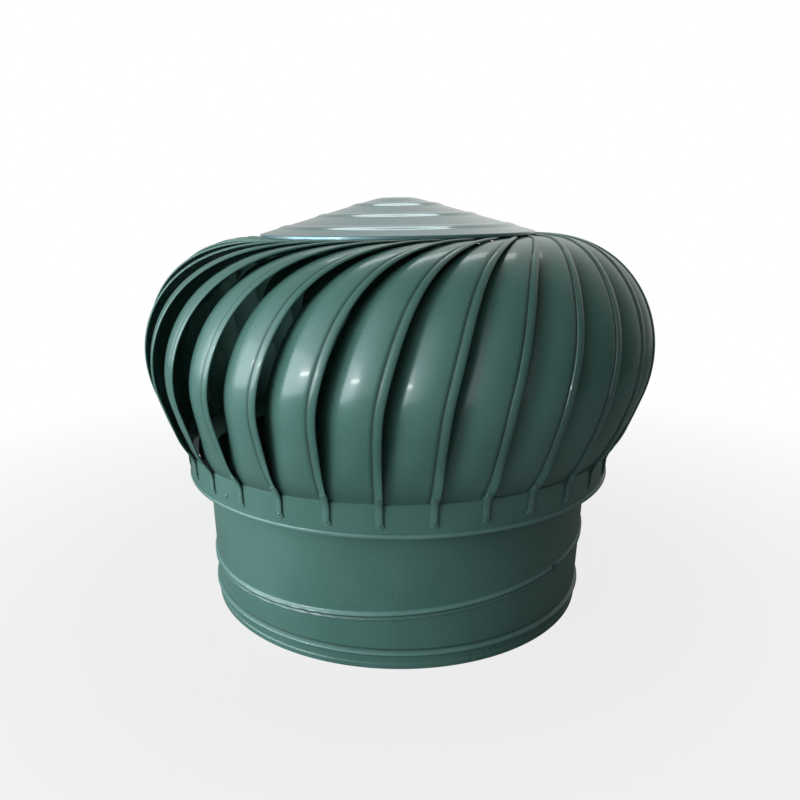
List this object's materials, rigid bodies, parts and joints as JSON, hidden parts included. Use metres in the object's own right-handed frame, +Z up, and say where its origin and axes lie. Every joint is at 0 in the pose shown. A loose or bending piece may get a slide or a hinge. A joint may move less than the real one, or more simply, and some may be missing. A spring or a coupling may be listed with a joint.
{
  "type": "roof turbine ventilator",
  "caption": "Roof turbine ventilator: a ball-shaped rotor of curved overlapping blades under a conical cap spins on a shaft above a round beaded throat.",
  "frame": {"origin": "centre of the throat's lower rim, on the shaft's axis", "axes": "+Z up the shaft towards the cap; +X and +Y along the arms of the throat's crosses, with the picture's camera on the -Y side"},
  "size_m": [0.7571, 0.7569, 0.6069],
  "materials": {
    "green_paint": "semi-gloss",
    "cap_paint": "gloss",
    "frame_paint": "satin",
    "plated_steel": "brushed",
    "bearing_steel": "polished"
  },
  "bodies": {
    "neck": {"neck_tube": "green_paint", "lower_support": "frame_paint", "upper_support": "frame_paint", "shaft": "plated_steel", "spacer_tube": "plated_steel", "shaft_nut": "plated_steel", "lock_nut": "plated_steel", "lower_inner_ring": "bearing_steel", "upper_inner_ring": "bearing_steel"},
    "rotor": {"skirt_ring": "green_paint", "rotor_spider": "frame_paint", "top_ring": "green_paint", "upper_hub": "green_paint", "top_cap": "cap_paint", "lower_outer_ring": "bearing_steel", "upper_outer_ring": "bearing_steel", "blade_01": "green_paint", "blade_02": "green_paint", "blade_03": "green_paint", "blade_04": "green_paint", "blade_05": "green_paint", "blade_06": "green_paint", "blade_07": "green_paint", "blade_08": "green_paint", "blade_09": "green_paint", "blade_10": "green_paint", "blade_11": "green_paint", "blade_12": "green_paint", "blade_13": "green_paint", "blade_14": "green_paint", "blade_15": "green_paint", "blade_16": "green_paint", "blade_17": "green_paint", "blade_18": "green_paint", "blade_19": "green_paint", "blade_20": "green_paint", "blade_21": "green_paint", "blade_22": "green_paint", "blade_23": "green_paint", "blade_24": "green_paint", "blade_25": "green_paint", "blade_26": "green_paint", "blade_27": "green_paint", "blade_28": "green_paint", "blade_29": "green_paint", "blade_30": "green_paint", "blade_31": "green_paint"}
  },
  "joints": [
    {"name": "rotor_spin", "type": "hinge", "parent": "neck", "child": "rotor", "pos_m": [0, 0, 0.246], "axis": [0, 0, 1], "continuous": true}
  ]
}
